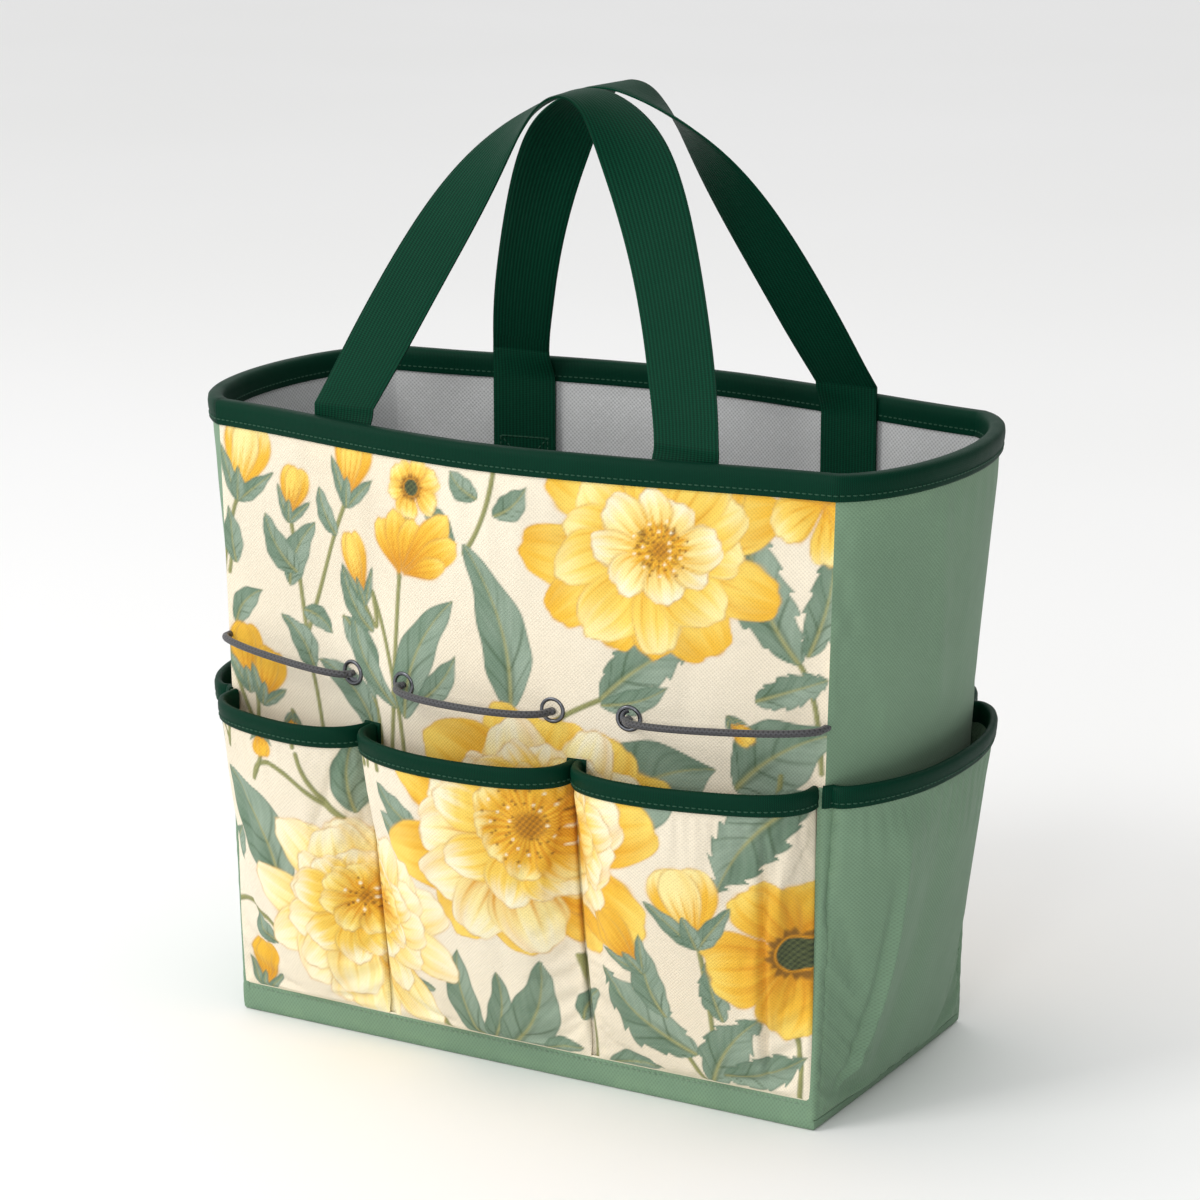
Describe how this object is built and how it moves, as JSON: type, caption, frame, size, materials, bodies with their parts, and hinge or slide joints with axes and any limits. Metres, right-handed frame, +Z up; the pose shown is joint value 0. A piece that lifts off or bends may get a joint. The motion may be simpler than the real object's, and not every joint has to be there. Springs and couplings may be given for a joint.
{
  "type": "garden tool bag",
  "caption": "Open-topped padded cloth bag for garden tools, with outer slip pockets, elastic tool loops, a bound rim and webbing carry handles.",
  "frame": {"origin": "centre of the base, on the surface that the bag stands on", "axes": "+Z up; the printed front with the elastic tool loops faces -Y; +X is to the right as seen from the front"},
  "size_m": [0.4564, 0.3058, 0.5356],
  "materials": {
    "printed_canvas": "matt woven polyester printed with large yellow flowers and grey-green leaves on cream",
    "sage_canvas": "matt plain-woven sage green polyester",
    "foam_padding": "closed-cell foam padding between the cloth layers",
    "lining_cloth": "light grey woven lining, coated",
    "binding_tape": "dark green woven binding tape, slight sheen",
    "webbing": "dark green flat webbing, slight sheen",
    "base_board": "plain stiffening board",
    "gunmetal": "dark gunmetal plated",
    "elastic_cord": "braided round elastic, dark grey"
  },
  "bodies": {
    "bag": {"back_foam": "foam_padding", "back_handle_tail_left": "webbing", "back_handle_tail_right": "webbing", "back_lining": "lining_cloth", "back_panel": "printed_canvas", "back_pocket_left": "printed_canvas", "back_pocket_left_binding": "binding_tape", "back_pocket_middle": "printed_canvas", "back_pocket_middle_binding": "binding_tape", "back_pocket_right": "printed_canvas", "back_pocket_right_binding": "binding_tape", "base_board": "base_board", "base_lining": "lining_cloth", "base_wrap": "sage_canvas", "cord_stop_1": "elastic_cord", "cord_stop_2": "elastic_cord", "cord_stop_3": "elastic_cord", "cord_stop_4": "elastic_cord", "eyelet_1": "gunmetal", "eyelet_2": "gunmetal", "eyelet_3": "gunmetal", "eyelet_4": "gunmetal", "eyelet_washer_1": "gunmetal", "eyelet_washer_2": "gunmetal", "eyelet_washer_3": "gunmetal", "eyelet_washer_4": "gunmetal", "front_foam": "foam_padding", "front_handle_tail_left": "webbing", "front_handle_tail_right": "webbing", "front_lining": "lining_cloth", "front_panel": "printed_canvas", "front_pocket_left": "printed_canvas", "front_pocket_left_binding": "binding_tape", "front_pocket_middle": "printed_canvas", "front_pocket_middle_binding": "binding_tape", "front_pocket_right": "printed_canvas", "front_pocket_right_binding": "binding_tape", "left_foam": "foam_padding", "left_lining": "lining_cloth", "left_panel": "sage_canvas", "left_side_pocket": "sage_canvas", "left_side_pocket_binding": "binding_tape", "right_foam": "foam_padding", "right_lining": "lining_cloth", "right_panel": "sage_canvas", "right_side_pocket": "sage_canvas", "right_side_pocket_binding": "binding_tape", "rim_binding": "binding_tape"},
    "front_handle_folds": {"front_handle_fold_left": "webbing", "front_handle_fold_right": "webbing"},
    "front_handle_grip": {"front_handle": "webbing"},
    "back_handle_folds": {"back_handle_fold_left": "webbing", "back_handle_fold_right": "webbing"},
    "back_handle_grip": {"back_handle": "webbing"},
    "tool_loop_left": {"tool_loop_left": "elastic_cord"},
    "tool_loop_middle": {"tool_loop_middle": "elastic_cord"},
    "tool_loop_right": {"tool_loop_right": "elastic_cord"}
  },
  "joints": [
    {"name": "front_handle_fold", "type": "hinge", "parent": "bag", "child": "front_handle_folds", "pos_m": [0, -0.095, 0.3653], "axis": [1, 0, 0], "range_deg": [0, 104]},
    {"name": "front_handle_swing", "type": "hinge", "parent": "front_handle_folds", "child": "front_handle_grip", "pos_m": [0, -0.08634, 0.38318], "axis": [1, 0, 0], "range_deg": [0, 76]},
    {"name": "back_handle_fold", "type": "hinge", "parent": "bag", "child": "back_handle_folds", "pos_m": [0, 0.095, 0.3653], "axis": [-1, 0, 0], "range_deg": [0, 104]},
    {"name": "back_handle_swing", "type": "hinge", "parent": "back_handle_folds", "child": "back_handle_grip", "pos_m": [0, 0.08634, 0.38318], "axis": [-1, 0, 0], "range_deg": [0, 76]},
    {"name": "tool_loop_left_swing", "type": "hinge", "parent": "bag", "child": "tool_loop_left", "pos_m": [-0.14084, -0.10412, 0.22247], "axis": [0.98, -0.1921, -0.0528], "range_deg": [-45, 45], "stiffness_Nm_per_rad": 0.003},
    {"name": "tool_loop_middle_swing", "type": "hinge", "parent": "bag", "child": "tool_loop_middle", "pos_m": [-0.00865, -0.12052, 0.21993], "axis": [0.9997, -0.0224, 0], "range_deg": [-45, 45], "stiffness_Nm_per_rad": 0.003},
    {"name": "tool_loop_right_swing", "type": "hinge", "parent": "bag", "child": "tool_loop_right", "pos_m": [0.13534, -0.10513, 0.22247], "axis": [0.9805, 0.1908, 0.0473], "range_deg": [-45, 45], "stiffness_Nm_per_rad": 0.003}
  ],
  "couplings": [
    {"joint": "front_handle_swing", "follows": "front_handle_fold", "ratio": 0.73},
    {"joint": "back_handle_swing", "follows": "back_handle_fold", "ratio": 0.73}
  ]
}
